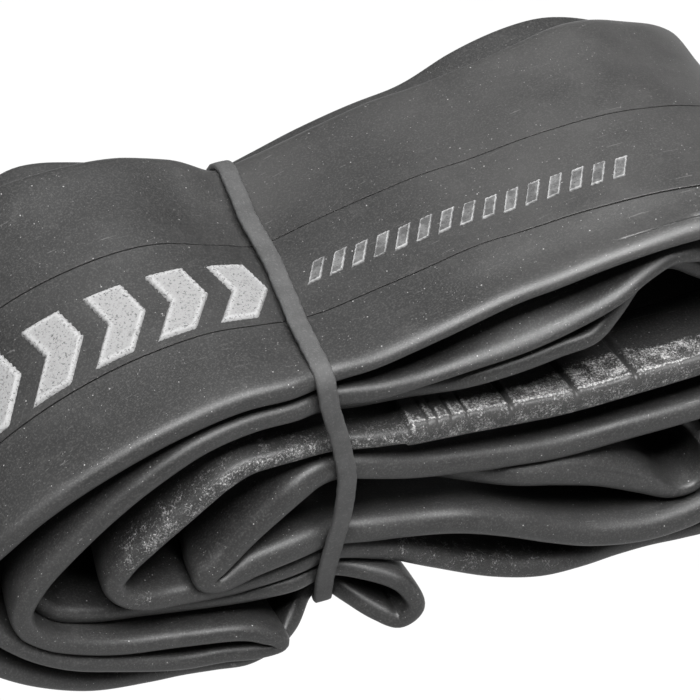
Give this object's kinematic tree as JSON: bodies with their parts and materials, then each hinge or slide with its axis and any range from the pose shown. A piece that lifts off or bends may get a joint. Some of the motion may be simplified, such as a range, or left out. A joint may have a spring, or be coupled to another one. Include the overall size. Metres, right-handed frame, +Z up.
{
  "type": "bicycle inner tube",
  "caption": "Butyl bicycle inner tube pressed flat, folded into a flat-wound bundle and held at the waist by a rubber band, with a capped car-type valve at one end.",
  "frame": {"origin": "centre of the whole object's footprint, on the table it lies on", "axes": "+X along the bundle towards the valve, +Y across the lay-flat width, +Z up from the table"},
  "size_m": [0.1851, 0.0642, 0.0642],
  "materials": {
    "butyl": "matte, lightly dusted",
    "band_rubber": "matte",
    "stem_rubber": "matte",
    "brass": "turned",
    "steel": "drawn",
    "seal_rubber": "matte",
    "cap_plastic": "moulded"
  },
  "bodies": {
    "tube": {"tube_body": "butyl", "rubber_band": "band_rubber", "valve_patch": "stem_rubber", "stem_cover": "stem_rubber", "stem_insert": "brass", "core_barrel": "brass", "barrel_gasket": "seal_rubber", "core_plug": "brass", "core_spring": "steel"},
    "pin": {"core_pin": "steel", "pin_cup": "brass", "cup_seal": "seal_rubber"},
    "cap_seat": {"cap_gasket": "seal_rubber"},
    "cap": {"cap_shell": "cap_plastic"}
  },
  "joints": [
    {"name": "pin_press", "type": "slide", "parent": "tube", "child": "pin", "axis": [-1, 0, 0], "range_m": [0, 0.0015], "stiffness_N_per_m": 900, "springref_m": -0.0008, "deforming": ["core_spring"]},
    {"name": "cap_lift", "type": "slide", "parent": "tube", "child": "cap_seat", "axis": [1, 0, 0], "range_m": [0, 0.00556]},
    {"name": "cap_turn", "type": "hinge", "parent": "cap_seat", "child": "cap", "pos_m": [0.08472, 0, 0.028], "axis": [1, 0, 0], "range_deg": [0, 2520]}
  ],
  "couplings": [
    {"joint": "cap_turn", "follows": "cap_lift", "rad_per_m": 7915.8}
  ]
}
